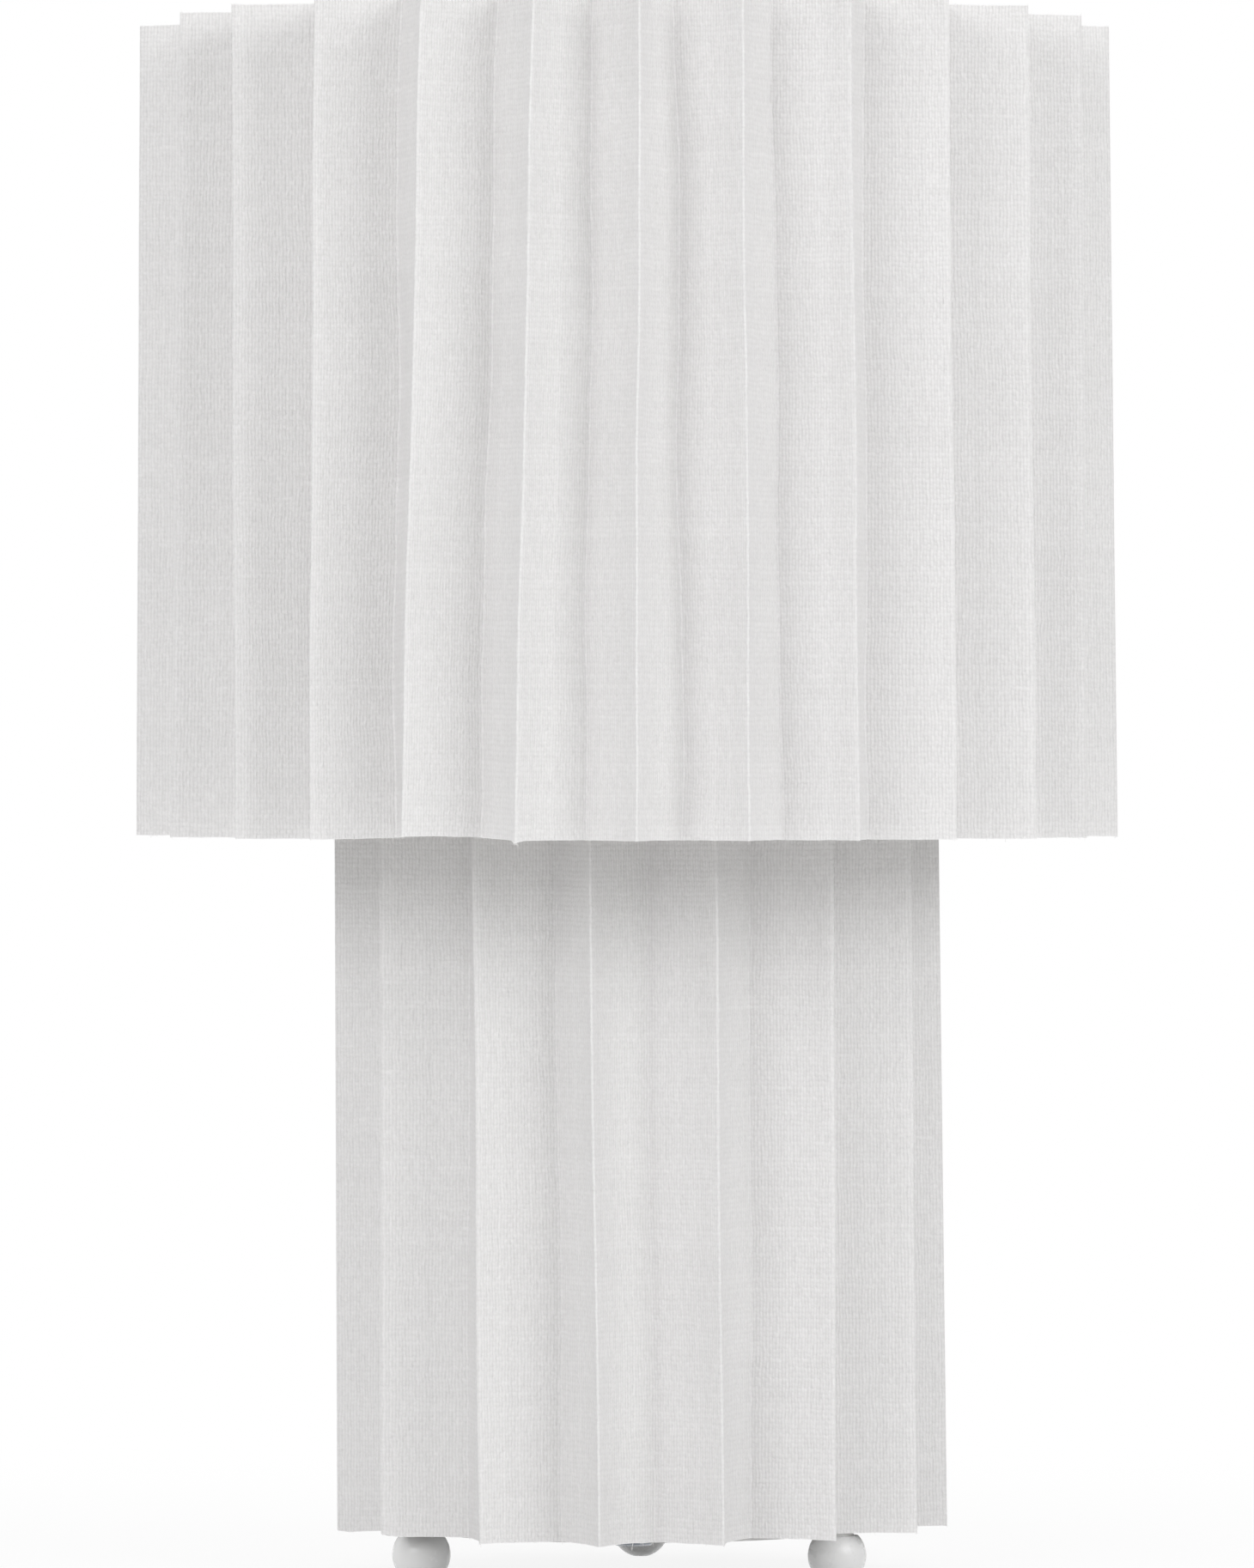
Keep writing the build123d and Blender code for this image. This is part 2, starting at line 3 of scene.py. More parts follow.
import bmesh
import bpy
import numpy as np
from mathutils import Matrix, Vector


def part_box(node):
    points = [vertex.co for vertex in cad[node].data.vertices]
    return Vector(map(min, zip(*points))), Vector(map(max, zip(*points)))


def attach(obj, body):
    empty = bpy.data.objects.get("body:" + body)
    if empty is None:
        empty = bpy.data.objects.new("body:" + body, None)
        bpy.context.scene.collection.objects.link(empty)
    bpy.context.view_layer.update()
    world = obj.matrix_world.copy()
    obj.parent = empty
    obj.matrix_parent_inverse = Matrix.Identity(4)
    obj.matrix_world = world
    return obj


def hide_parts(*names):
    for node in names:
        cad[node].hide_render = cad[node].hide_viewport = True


# A table lamp: a pleated linen shade on a narrower pleated linen base that stands on three ball feet.
# The solids come from the CAD frame, in metres. Here they get their finishes, and the two linen covers
# get their folds as cloth has them.
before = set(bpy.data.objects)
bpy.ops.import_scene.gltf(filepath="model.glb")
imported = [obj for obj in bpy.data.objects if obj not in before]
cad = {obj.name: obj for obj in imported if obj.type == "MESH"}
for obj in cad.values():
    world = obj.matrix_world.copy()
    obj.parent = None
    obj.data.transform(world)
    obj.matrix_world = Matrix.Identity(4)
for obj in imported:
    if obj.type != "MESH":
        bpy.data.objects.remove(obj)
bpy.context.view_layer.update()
lamp = bpy.context.scene.collection

# The camera stands straight in front, at about half the lamp's height, with a long lens.
# The photo's own pixels give its distance, its height and its tilt.
photo_width = 1460
photo_height = 1826
pixel = 0.2221e-3  # what a pixel of the photo covers at the lamp's axis
camera_distance = 2.842
axis_column = 737
horizon_row = 833
floor_row = 1833
sensor_side = 36.0

focal_pixels = camera_distance / pixel
eye_height = (floor_row - horizon_row) * pixel
eye_aside = (photo_width / 2 - axis_column) * pixel
looking_down = atan((photo_height / 2 - horizon_row) / focal_pixels)
camera = bpy.data.objects.new("camera", bpy.data.cameras.new("camera"))
camera.data.sensor_width = sensor_side
camera.data.lens = sensor_side * focal_pixels / photo_height
camera.location = (eye_aside, -camera_distance, eye_height)
camera.rotation_euler = (pi / 2 - looking_down, 0, 0)
lamp.objects.link(camera)
bpy.context.scene.camera = camera

# The three ball feet are turned beech, primed and sprayed with white gloss lacquer.
# The lacquer has a fine waver, takes light in a little, and has some dust on top and a few scuffs.
mm = 1e-3


def feed(tree, socket, value):
    if isinstance(value, bpy.types.NodeSocket):
        tree.links.new(value, socket)
    else:
        socket.default_value = value


def add_node(tree, kind, inputs, **settings):
    made = tree.nodes.new(kind)
    for name, value in settings.items():
        setattr(made, name, value)
    for name, value in inputs.items():
        feed(tree, made.inputs[name], value)
    return made


def maths(tree, operation, *values):
    made = tree.nodes.new("ShaderNodeMath")
    made.operation = operation
    for socket, value in zip(made.inputs, values):
        feed(tree, socket, value)
    return made.outputs[0]


def clouds(tree, place, scale, detail=2.0):
    inputs = {"Vector": place, "Scale": scale, "Detail": detail}
    return add_node(tree, "ShaderNodeTexNoise", inputs).outputs["Fac"]


def stretched(tree, place, scales):
    inputs = {"Vector": place, "Scale": scales}
    return add_node(tree, "ShaderNodeMapping", inputs).outputs["Vector"]


def between(tree, value, low, high, at_low=0.0, at_high=1.0):
    """A soft step from at_low to at_high while value goes from low to high."""
    inputs = {"Value": value, "From Min": low, "From Max": high, "To Min": at_low, "To Max": at_high}
    made = add_node(tree, "ShaderNodeMapRange", inputs, interpolation_type="SMOOTHSTEP")
    return made.outputs["Result"]


def mixed_colour(tree, share, first, second):
    made = tree.nodes.new("ShaderNodeMix")
    made.data_type = "RGBA"
    feed(tree, made.inputs[0], share)
    for socket, colour in ((made.inputs[6], first), (made.inputs[7], second)):
        feed(tree, socket, colour if isinstance(colour, bpy.types.NodeSocket) else (*colour, 1.0))
    return made.outputs[2]


def new_effect(name, inputs, outputs):
    """A node group with named inputs and outputs, with its inner ends, ready to be filled."""
    tree = bpy.data.node_groups.new(name, "ShaderNodeTree")
    for label, kind, value in inputs:
        socket = tree.interface.new_socket(label, in_out="INPUT", socket_type=kind)
        if value is not None:
            socket.default_value = value
    for label in outputs:
        tree.interface.new_socket(label, in_out="OUTPUT", socket_type="NodeSocketFloat")
    given = tree.nodes.new("NodeGroupInput").outputs
    wanted = tree.nodes.new("NodeGroupOutput").inputs
    return tree, given, wanted


def place_effect(tree, effect, inputs):
    made = tree.nodes.new("ShaderNodeGroup")
    made.node_tree = effect
    for name, value in inputs.items():
        feed(tree, made.inputs[name], value)
    return made.outputs


surface_grain, given, wanted = new_effect(
    "surface_grain",
    [("Place", "NodeSocketVector", None), ("Grains per metre", "NodeSocketFloat", 1000.0)],
    ["Blotches", "Height"],
)
coarse_share = 0.12  # of the fine grain's scale
fine_grain = clouds(surface_grain, given["Place"], given["Grains per metre"], 3.0)
coarse_scale = maths(surface_grain, "MULTIPLY", given["Grains per metre"], coarse_share)
coarse_grain = clouds(surface_grain, given["Place"], coarse_scale, 4.0)
grain_sum = maths(surface_grain, "ADD", fine_grain, coarse_grain)
feed(surface_grain, wanted["Blotches"], between(surface_grain, grain_sum, 0.7, 1.3))
feed(surface_grain, wanted["Height"], fine_grain)

settled_dust, given, wanted = new_effect(
    "settled_dust",
    [("Place", "NodeSocketVector", None), ("Amount", "NodeSocketFloat", 0.3)],
    ["Dust"],
)
dust_specks = 1400.0  # per metre
facing = add_node(settled_dust, "ShaderNodeNewGeometry", {}).outputs["Normal"]
facing_up = add_node(settled_dust, "ShaderNodeSeparateXYZ", {"Vector": facing}).outputs["Z"]
flat_share = between(settled_dust, facing_up, 0.3, 1.0)
specks = between(settled_dust, clouds(settled_dust, given["Place"], dust_specks, 5.0), 0.35, 0.7)
dusted = maths(settled_dust, "MULTIPLY", flat_share, specks)
feed(settled_dust, wanted["Dust"], maths(settled_dust, "MULTIPLY", dusted, given["Amount"]))

rub_marks, given, wanted = new_effect(
    "rub_marks",
    [("Place", "NodeSocketVector", None), ("Amount", "NodeSocketFloat", 0.3)],
    ["Marks"],
)
long_scuffs = (2600.0, 300.0, 500.0)  # per metre, and so are the cross ones
cross_scuffs = (260.0, 2400.0, 700.0)
long_way = stretched(rub_marks, given["Place"], long_scuffs)
cross_way = stretched(rub_marks, given["Place"], cross_scuffs)
long_marks = between(rub_marks, clouds(rub_marks, long_way, 1.0, 2.0), 0.6, 0.72)
cross_marks = between(rub_marks, clouds(rub_marks, cross_way, 1.0, 2.0), 0.62, 0.72)
all_marks = maths(rub_marks, "MAXIMUM", long_marks, cross_marks)
feed(rub_marks, wanted["Marks"], maths(rub_marks, "MULTIPLY", all_marks, given["Amount"]))

dust_colour = (0.62, 0.60, 0.57)


def hard_finish(name, colour, blotch_colour, gloss, grains, grain_depth, dust=0.1, marks=0.2, **fixed):
    """A painted, cast, moulded, plated or turned surface. gloss is its roughness, smooth and rubbed."""
    material = bpy.data.materials.new(name)
    material.use_nodes = True
    tree = material.node_tree
    shader = tree.nodes["Principled BSDF"]
    place = add_node(tree, "ShaderNodeTexCoord", {}).outputs["Object"]
    grain = place_effect(tree, surface_grain, {"Place": place, "Grains per metre": grains})
    dusty = place_effect(tree, settled_dust, {"Place": place, "Amount": dust})["Dust"]
    rubbed = place_effect(tree, rub_marks, {"Place": place, "Amount": marks})["Marks"]
    clean = mixed_colour(tree, grain["Blotches"], blotch_colour, colour)
    feed(tree, shader.inputs["Base Color"], mixed_colour(tree, dusty, clean, dust_colour))
    worn = maths(tree, "MAXIMUM", maths(tree, "MAXIMUM", rubbed, dusty), grain["Blotches"])
    feed(tree, shader.inputs["Roughness"], between(tree, worn, 0.0, 1.0, gloss[0], gloss[1]))
    bump = add_node(tree, "ShaderNodeBump", {"Height": grain["Height"], "Distance": grain_depth})
    feed(tree, shader.inputs["Normal"], bump.outputs["Normal"])
    for socket, value in fixed.items():
        shader.inputs[socket.replace("_", " ")].default_value = value
    return material


def dress(material, *names):
    for name in names:
        cad[name].material_slots[0].material = material


gloss_lacquer = hard_finish(
    "white_gloss_lacquer",
    colour=(0.86, 0.86, 0.855),
    blotch_colour=(0.84, 0.84, 0.835),
    gloss=(0.2, 0.34),
    grains=420.0,
    grain_depth=0.02 * mm,
    dust=0.1,
    marks=0.2,
    Coat_Weight=0.4,
    Coat_Roughness=0.1,
    Subsurface_Weight=0.9,
    Subsurface_Radius=(1.0, 1.0, 1.0),
    Subsurface_Scale=14.0 * mm,
)
dress(gloss_lacquer, "foot_front_left", "foot_front_right", "foot_rear")

# The bottom plate closes the base. It is punched steel with white powder coating, glued into the rim.
# The top plate and the shade's wire frame have the same coating.
powder_coat = hard_finish(
    "white_powder_coat",
    colour=(0.84, 0.84, 0.83),
    blotch_colour=(0.80, 0.80, 0.79),
    gloss=(0.38, 0.55),
    grains=1500.0,
    grain_depth=0.05 * mm,
    marks=0.35,
)
dress(powder_coat, "bottom_plate")

# Three countersunk screws go up through the plate's ears into the feet, zinc plated against rust.
# The nuts, the washer, the threaded tube and the holder's grub screw have the same plating.
zinc_plating = hard_finish(
    "zinc_plating",
    colour=(0.62, 0.64, 0.66),
    blotch_colour=(0.48, 0.50, 0.53),
    gloss=(0.24, 0.5),
    grains=900.0,
    grain_depth=0.01 * mm,
    marks=0.6,
    Metallic=1.0,
)
dress(zinc_plating, "foot_screws")

# The ballast is a disc of cast iron, dipped in black primer, that keeps the lamp from tipping over.
# The sand of the mould shows in its skin.
cast_iron = hard_finish(
    "primed_cast_iron",
    colour=(0.045, 0.045, 0.047),
    blotch_colour=(0.09, 0.085, 0.08),
    gloss=(0.55, 0.85),
    grains=1100.0,
    grain_depth=0.4 * mm,
    dust=0.35,
)
dress(cast_iron, "ballast_disc")

# The base's cover is linen laminated to a stiff white plastic sheet, scored and folded into 15 pleats.
# Outer folds are crisp, inner folds are soft, both rims are raw cuts, and the lower one has loose fibres.
# The sheet's ends lap at the back.
warp_pitch = 0.87 * mm
weft_pitch = 1.28 * mm
weft_flatness = 0.7  # the weft's height against the warp's
yarn_sway = 1.2  # in yarns
sway_waves = 160.0  # per metre, as the three below
bump_waves = (1300.0, 260.0, 1.0)
hair_waves = 1100.0
slub_waves = 130.0
slub_rows_apart = 7.3  # sets each weft yarn's slubs apart from the next one's
slub_onset = (0.64, 0.76)  # a yarn swells only where its waver is strongest
slub_height = 0.4
uneven_height = 0.3
full_height = 0.75  # where a yarn counts as lit all over
weft_tint_apart = 0.37  # keeps a weft yarn's tint apart from that of the warp yarn of its number
tint_share = 0.15
# Painted shade: the next two shares darken the colour in the hollows between the yarns and towards each warp
# yarn's edges.
hollow_shade_share = 0.22
warp_edge_shade_share = 0.18
bump_share = 0.25
hair_share = 0.2

thread_weave, given, wanted = new_effect(
    "thread_weave",
    [
        ("Cloth", "NodeSocketVector", None),
        ("Warp pitch", "NodeSocketFloat", warp_pitch),
        ("Weft pitch", "NodeSocketFloat", weft_pitch),
    ],
    ["Shade", "Slubs", "Height"],
)


def woven(operation, *values):
    return maths(thread_weave, operation, *values)


def yarn_count(distance, pitch, swaying):
    """How many yarns lie from the sheet's corner to here, as the yarns sway."""
    offset = woven("MULTIPLY", woven("SUBTRACT", swaying, 0.5), yarn_sway)
    return woven("ADD", woven("DIVIDE", distance, pitch), offset)


def yarn_wave(count, number):
    """1 on the yarn's middle line and 0 at its edge."""
    place = woven("SUBTRACT", woven("SUBTRACT", count, number), 0.5)
    return woven("COSINE", woven("MULTIPLY", place, pi))


def yarn_tint(key):
    made = add_node(thread_weave, "ShaderNodeTexWhiteNoise", {"W": key}, noise_dimensions="1D")
    return made.outputs["Value"]


swaying = {"Vector": given["Cloth"], "Scale": sway_waves, "Detail": 2.0}
sway = add_node(thread_weave, "ShaderNodeTexNoise", swaying).outputs["Color"]
sway = add_node(thread_weave, "ShaderNodeSeparateColor", {"Color": sway}).outputs
flat = add_node(thread_weave, "ShaderNodeSeparateXYZ", {"Vector": given["Cloth"]}).outputs
warp_count = yarn_count(flat["X"], given["Warp pitch"], sway[0])
weft_count = yarn_count(flat["Y"], given["Weft pitch"], sway[1])
warp_number = woven("FLOOR", warp_count)
weft_number = woven("FLOOR", weft_count)
odd = woven("ABSOLUTE", woven("MODULO", woven("ADD", warp_number, weft_number), 2.0))
over = woven("SUBTRACT", woven("MULTIPLY", odd, 2.0), 1.0)
warp_round = yarn_wave(warp_count, warp_number)
weft_round = yarn_wave(weft_count, weft_number)
warp_rise = woven("MULTIPLY_ADD", woven("MULTIPLY", over, weft_round), 0.5, 0.5)
weft_rise = woven("MULTIPLY_ADD", woven("MULTIPLY", over, warp_round), -0.5, 0.5)
warp_height = woven("MULTIPLY", warp_round, warp_rise)
weft_height = woven("MULTIPLY", woven("MULTIPLY", weft_round, weft_rise), weft_flatness)
height = woven("MAXIMUM", warp_height, weft_height)
warp_on_top = woven("GREATER_THAN", warp_height, weft_height)
warp_tint = yarn_tint(warp_number)
weft_tint = yarn_tint(woven("ADD", weft_number, weft_tint_apart))
tint = add_node(thread_weave, "ShaderNodeMix", {0: warp_on_top, 2: weft_tint, 3: warp_tint}).outputs[0]
# Painted shade: the colour darkens where the weave lies low and towards each warp yarn's edges; tint, thick
# and thin yarns and hairs are the cloth's own tone.
painted_hollow_shade = between(thread_weave, height, 0.0, full_height)
long_bumps = clouds(thread_weave, stretched(thread_weave, given["Cloth"], bump_waves), 1.0, 3.0)
thick_and_thin = between(thread_weave, long_bumps, 0.25, 0.75)
hairs = between(thread_weave, clouds(thread_weave, given["Cloth"], hair_waves, 3.0), 0.25, 0.75)
shade = woven("MULTIPLY", tint, tint_share)
shade = woven("MULTIPLY_ADD", painted_hollow_shade, hollow_shade_share, shade)
shade = woven("MULTIPLY_ADD", warp_round, warp_edge_shade_share, shade)
shade = woven("MULTIPLY_ADD", thick_and_thin, bump_share, shade)
shade = woven("MULTIPLY_ADD", hairs, hair_share, shade)
height = woven("MULTIPLY_ADD", thick_and_thin, uneven_height, height)
height = woven("MULTIPLY_ADD", hairs, uneven_height, height)
slub_place = {
    "X": woven("MULTIPLY", flat["X"], slub_waves),
    "Y": woven("MULTIPLY", weft_number, slub_rows_apart),
}
slub_row = add_node(thread_weave, "ShaderNodeCombineXYZ", slub_place).outputs["Vector"]
slubs = between(thread_weave, clouds(thread_weave, slub_row, 1.0, 1.0), *slub_onset)
slubs = woven("MULTIPLY", slubs, weft_round)
feed(thread_weave, wanted["Shade"], shade)
feed(thread_weave, wanted["Slubs"], slubs)
feed(thread_weave, wanted["Height"], woven("MULTIPLY_ADD", slubs, slub_height, height))

# The dark end of the linen's tone: the yarns' own variation, with painted shade between the yarns and along
# the outer fold crests.
linen_dark_and_shaded = (0.767, 0.758, 0.755)
linen_thread = (0.985, 0.977, 0.977)
linen_bright = (0.99, 0.983, 0.982)
film_colour = (0.93, 0.914, 0.88)
mottle_waves = 28.0  # per metre
mottle_depth = 0.04
slub_brightness = 0.3
crease_line = 0.4 * mm
# How much painted shade darkens the outer fold crests, to damp their highlight.
crest_shade_depth = 0.22
rim_line = 0.3 * mm
rim_brightness = 0.9
weave_depth = 0.16 * mm
linen_gloss = (0.95, 0.78)  # roughness down between the yarns and on their tops
cover_glow = 0.10  # share of the light that goes through the laminate


def let_light_through(tree, **inputs):
    """Mixes in the light that comes through the laminate from its other side."""
    through = add_node(tree, "ShaderNodeBsdfTranslucent", inputs)
    both = tree.nodes.new("ShaderNodeMixShader")
    both.inputs[0].default_value = cover_glow
    tree.links.new(tree.nodes["Principled BSDF"].outputs[0], both.inputs[1])
    tree.links.new(through.outputs[0], both.inputs[2])
    tree.links.new(both.outputs[0], tree.nodes["Material Output"].inputs["Surface"])


def linen_face(name):
    """White linen, with painted shade between the yarns and along the outer fold crests, where it damps
    their highlight, and a bright cut along the rims.
    """
    material = bpy.data.materials.new(name)
    material.use_nodes = True
    tree = material.node_tree
    shader = tree.nodes["Principled BSDF"]
    cloth = add_node(tree, "ShaderNodeUVMap", {}, uv_map="cloth").outputs["UV"]
    margin = add_node(tree, "ShaderNodeUVMap", {}, uv_map="margins").outputs["UV"]
    margin = add_node(tree, "ShaderNodeSeparateXYZ", {"Vector": margin}).outputs
    weave = place_effect(tree, thread_weave, {"Cloth": cloth})
    mottled = clouds(tree, cloth, mottle_waves, 3.0)
    mottled = between(tree, mottled, 0.3, 0.7, -mottle_depth, mottle_depth)
    threads = mixed_colour(tree, maths(tree, "ADD", weave["Shade"], mottled), linen_dark_and_shaded, linen_thread)
    bright_slubs = maths(tree, "MULTIPLY", weave["Slubs"], slub_brightness)
    slubbed = mixed_colour(tree, bright_slubs, threads, linen_bright)
    # Painted shade: a thin line along each outer fold crest is darkened to damp the crest's highlight.
    crest_shade_mask = between(tree, margin["X"], crease_line / 2, crease_line, crest_shade_depth, 0.0)
    crest_shaded = mixed_colour(tree, crest_shade_mask, slubbed, linen_dark_and_shaded)
    cut = between(tree, margin["Y"], rim_line / 2, rim_line, rim_brightness, 0.0)
    feed(tree, shader.inputs["Base Color"], mixed_colour(tree, cut, crest_shaded, linen_bright))
    feed(tree, shader.inputs["Roughness"], between(tree, weave["Height"], 0.0, 1.0, *linen_gloss))
    shader.inputs["Specular IOR Level"].default_value = 0.3
    shader.inputs["Sheen Weight"].default_value = 0.08
    bump = add_node(tree, "ShaderNodeBump", {"Height": weave["Height"], "Distance": weave_depth})
    feed(tree, shader.inputs["Normal"], bump.outputs["Normal"])
    let_light_through(tree, Color=slubbed, Normal=bump.outputs["Normal"])
    return material


linen = linen_face("white_linen")
backing = hard_finish(
    "white_backing_film",
    colour=film_colour,
    blotch_colour=(0.91, 0.894, 0.86),
    gloss=(0.35, 0.5),
    grains=300.0,
    grain_depth=0.02 * mm,
    dust=0.0,
    marks=0.3,
)
let_light_through(backing.node_tree, Color=(*film_colour, 1.0))
fibre = hard_finish(
    "linen_fibre",
    colour=(0.95, 0.945, 0.935),
    blotch_colour=(0.90, 0.895, 0.885),
    gloss=(0.7, 0.95),
    grains=4000.0,
    grain_depth=0.02 * mm,
    dust=0.0,
    marks=0.0,
)
cover_faces = [linen, backing, fibre]  # outside, inside and cut edges

sheet_half = 0.22 * mm  # half of the laminate's thickness
outer_fold_round = 0.27 * mm
inner_fold_round = 1.0 * mm
outer_fold_steps = 4
inner_fold_steps = 6
facet_steps = 7
lap_columns = facet_steps - 2
lap_lift = 2.05 * sheet_half  # a hair more than the sheet's thickness
valley_room = 0.1 * mm
softened = [(0.11, 0.35 * mm)]  # an inner fold's length of wave and its softness
rim_raggedness = 0.07 * mm
ragged_reach = 0.6 * mm
worn_reach = 3.0 * mm  # up from the lower rim
rim_rows = np.array([0.0, 0.25, 0.6, 1.2, 2.2]) * mm
plain_rows_from = 4.0 * mm
sharp_edge = radians(52)


def drifts(pleats, shown, spread, luck):
    """How far each fold has drifted from even spacing, in degrees, at the lower and the upper rim."""
    drift = luck.uniform(-spread, spread, (pleats, 2))
    for fold, pair in shown.items():
        drift[fold % pleats] = pair
    return drift


def wander(heights, count, waves, luck):
    """Slow seeded waver up the height for each of count folds, in the units of the waves' sizes."""
    total = np.zeros((len(heights), count))
    for length, size in waves:
        start = luck.uniform(0, 2 * pi, count)
        total += size * luck.uniform(0.5, 1.0, count) * np.sin(2 * pi * heights[:, None] / length + start)
    return total


def fold_angles(even, drift, waves, heights, lift, luck):
    """Each fold's angle round the axis at each height: even spacing, its drift and its waver."""
    angles = even + drift[:, 0] * (1 - lift) + drift[:, 1] * lift
    return np.radians(angles + wander(heights, len(even), waves, luck))


def round_axis(radius, angle):
    """Places at angles from the lamp's front, towards its right."""
    return np.stack([radius * np.sin(angle), -radius * np.cos(angle)], axis=-1)


def unit(vectors):
    return vectors / np.linalg.norm(vectors, axis=-1, keepdims=True)


def turned_left(vectors):
    return np.stack([-vectors[..., 1], vectors[..., 0]], axis=-1)


def round_fold(corner, before, after, radius, steps):
    """Points round a fold of each row, and where its two facets leave it."""
    arriving = unit(corner - before)
    leaving = unit(after - corner)
    side = arriving[..., 0] * leaving[..., 1] - arriving[..., 1] * leaving[..., 0]
    turn = np.arctan2(side, (arriving * leaving).sum(-1))[..., None]
    reach = radius * np.tan(abs(turn) / 2)
    first = corner - arriving * reach
    middle = first + turned_left(arriving) * radius * np.sign(turn)
    spoke = first - middle
    points = []
    for step in range(steps + 1):
        angle = turn * step / steps
        points.append(middle + spoke * np.cos(angle) + turned_left(spoke) * np.sin(angle))
    return points


def facet_points(start, end, bow, wave):
    """Points across a facet between two folds, hollowed by bow and a little s-shaped by wave."""
    out = -turned_left(unit(end - start))
    points = []
    for part in range(1, facet_steps):
        share = part / facet_steps
        bend = bow[..., None] * sin(pi * share) + wave * sin(2 * pi * share)
        points.append(start + (end - start) * share + out * bend)
    return points


def folded_columns(cover, heights, lift, luck):
    """The sheet's places, as points of one pleat after another: each a place for every row and pleat."""
    pleats = cover["pleats"]
    step = 360 / pleats
    even = np.arange(pleats) * step + cover["turned"]
    drift_outer = drifts(pleats, cover["outer_drift"], cover["back_drift"], luck)
    drift_inner = drifts(pleats, cover["inner_drift"], cover["back_drift"], luck)
    angle_outer = fold_angles(even, drift_outer, cover["outer_wander"], heights, lift, luck)
    angle_inner = fold_angles(even + step / 2, drift_inner, cover["inner_wander"], heights, lift, luck)

    # A rounded fold falls short of its corner, so the corners are set further out and further in.
    fold_radius = cover["radii"][0] * (1 - lift) + cover["radii"][1] * lift
    middle_radius = sum(cover["radii"]) / 2
    valley_radius = middle_radius - cover["depth"]
    half_step = radians(step / 2)
    outer_half = np.arctan2(valley_radius * sin(half_step), middle_radius - valley_radius * cos(half_step))
    inner_half = outer_half + half_step
    outer_reach = outer_fold_round * (1 / sin(outer_half) - 1) - sheet_half
    inner_reach = inner_fold_round * (1 / sin(inner_half) - 1) + sheet_half / sin(inner_half) - valley_room
    leaning = cover["lean"][0] * (1 - lift) + cover["lean"][1] * lift
    softness = abs(wander(heights, pleats, softened, luck))
    outer = round_axis(fold_radius + outer_reach + leaning * np.sin(angle_outer), angle_outer)
    inner = round_axis(fold_radius - cover["depth"] - inner_reach + softness, angle_inner)

    inner_before = np.roll(inner, 1, axis=1)
    outer_after = np.roll(outer, -1, axis=1)
    outer_arc = round_fold(outer, inner_before, inner, outer_fold_round, outer_fold_steps)
    inner_arc = round_fold(inner, outer, outer_after, inner_fold_round, inner_fold_steps)
    next_outer = np.roll(outer_arc[0], -1, axis=1)
    bow_in = cover["bow"] + wander(heights, pleats, cover["facet_wander"], luck)
    bow_out = cover["bow"] + wander(heights, pleats, cover["facet_wander"], luck)
    for fold, more in cover["hollow_facets"].items():
        bow_in[:, fold % pleats] += more
    inwards = facet_points(outer_arc[-1], inner_arc[0], bow_in, -cover["wave"])
    outwards = facet_points(inner_arc[-1], next_outer, bow_out, cover["wave"])
    return outer_arc + inwards + inner_arc + outwards, angle_inner


def sheet_level(cover, heights, lift, round_angle):
    """Each point's height above the floor, as the two rims rise and fall along the way round."""
    slant, dish, drop = cover["upper_rim"]
    upper = slant * np.cos(round_angle) + dish * np.cos(2 * round_angle) + drop
    level = heights[:, None] + lift * upper
    for middle, spread, rise in cover["lower_rim"]:
        off = (round_angle - radians(middle) + pi) % (2 * pi) - pi
        level = level + (1 - lift) * rise * np.exp(-((off / radians(spread)) ** 2))
    return level


def pleated_sheet(cover, luck):
    """The laminate's middle surface: places, outward normals, and places along the flat sheet."""
    pleats = cover["pleats"]
    height = cover["high"] - cover["low"]
    margin = rim_rows / height
    plain_from = plain_rows_from / height
    plain_rows = np.linspace(plain_from, 1 - plain_from, cover["rows"])
    rows = np.concatenate([margin, plain_rows, 1 - margin[::-1]])
    heights = cover["low"] + rows * height
    lift = rows[:, None]
    columns, angle_inner = folded_columns(cover, heights, lift, luck)
    per_pleat = len(columns)
    places = np.stack(columns, axis=2).reshape(len(rows), pleats * per_pleat, 2)
    along = unit(np.roll(places, -1, axis=1) - np.roll(places, 1, axis=1))
    middle_row = places[len(rows) // 2]
    gaps = np.linalg.norm(np.roll(middle_row, -1, axis=0) - middle_row, axis=-1)
    unrolled = np.concatenate([[0.0], np.cumsum(gaps)])
    crease_columns = np.arange(pleats) * per_pleat + outer_fold_steps // 2
    creases = np.append(unrolled[crease_columns], unrolled[-1] + unrolled[crease_columns[0]])
    creases = np.insert(creases, 0, unrolled[crease_columns[-1]] - unrolled[-1])

    ragged = luck.uniform(-1, 1, (2, places.shape[1])) * rim_raggedness
    near_low = np.exp(-rows * height / ragged_reach)[:, None]
    near_high = np.exp(-(1 - rows) * height / ragged_reach)[:, None]
    level = sheet_level(cover, heights, lift, np.arctan2(places[..., 0], -places[..., 1]))
    level = level + near_low * ragged[0] + near_high * ragged[1]
    near_worn = np.exp(-rows * height / worn_reach)[:, None]
    for fold, rise, reach in cover["worn_folds"]:
        along_rim = abs(unrolled[:-1] - unrolled[crease_columns[fold % pleats]])
        level = level + rise * np.exp(-along_rim / reach) * near_worn
    return {
        "places": places,
        "outward": -turned_left(along),
        "level": level,
        "unrolled": unrolled,
        "rows": rows * height,
        "to_crease": abs(unrolled[:, None] - creases).min(axis=1),
        "to_rim": np.minimum(rows, 1 - rows) * height,
        "per_pleat": per_pleat,
        "angle_inner": angle_inner,
    }


def new_piece(name, vertices, faces, materials, body):
    mesh = bpy.data.meshes.new(name)
    mesh.from_pydata(vertices, [], faces)
    piece = bpy.data.objects.new(name, mesh)
    lamp.objects.link(piece)
    for material in materials:
        mesh.materials.append(material)
    mesh.polygons.foreach_set("use_smooth", [True] * len(mesh.polygons))
    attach(piece, body)
    return piece


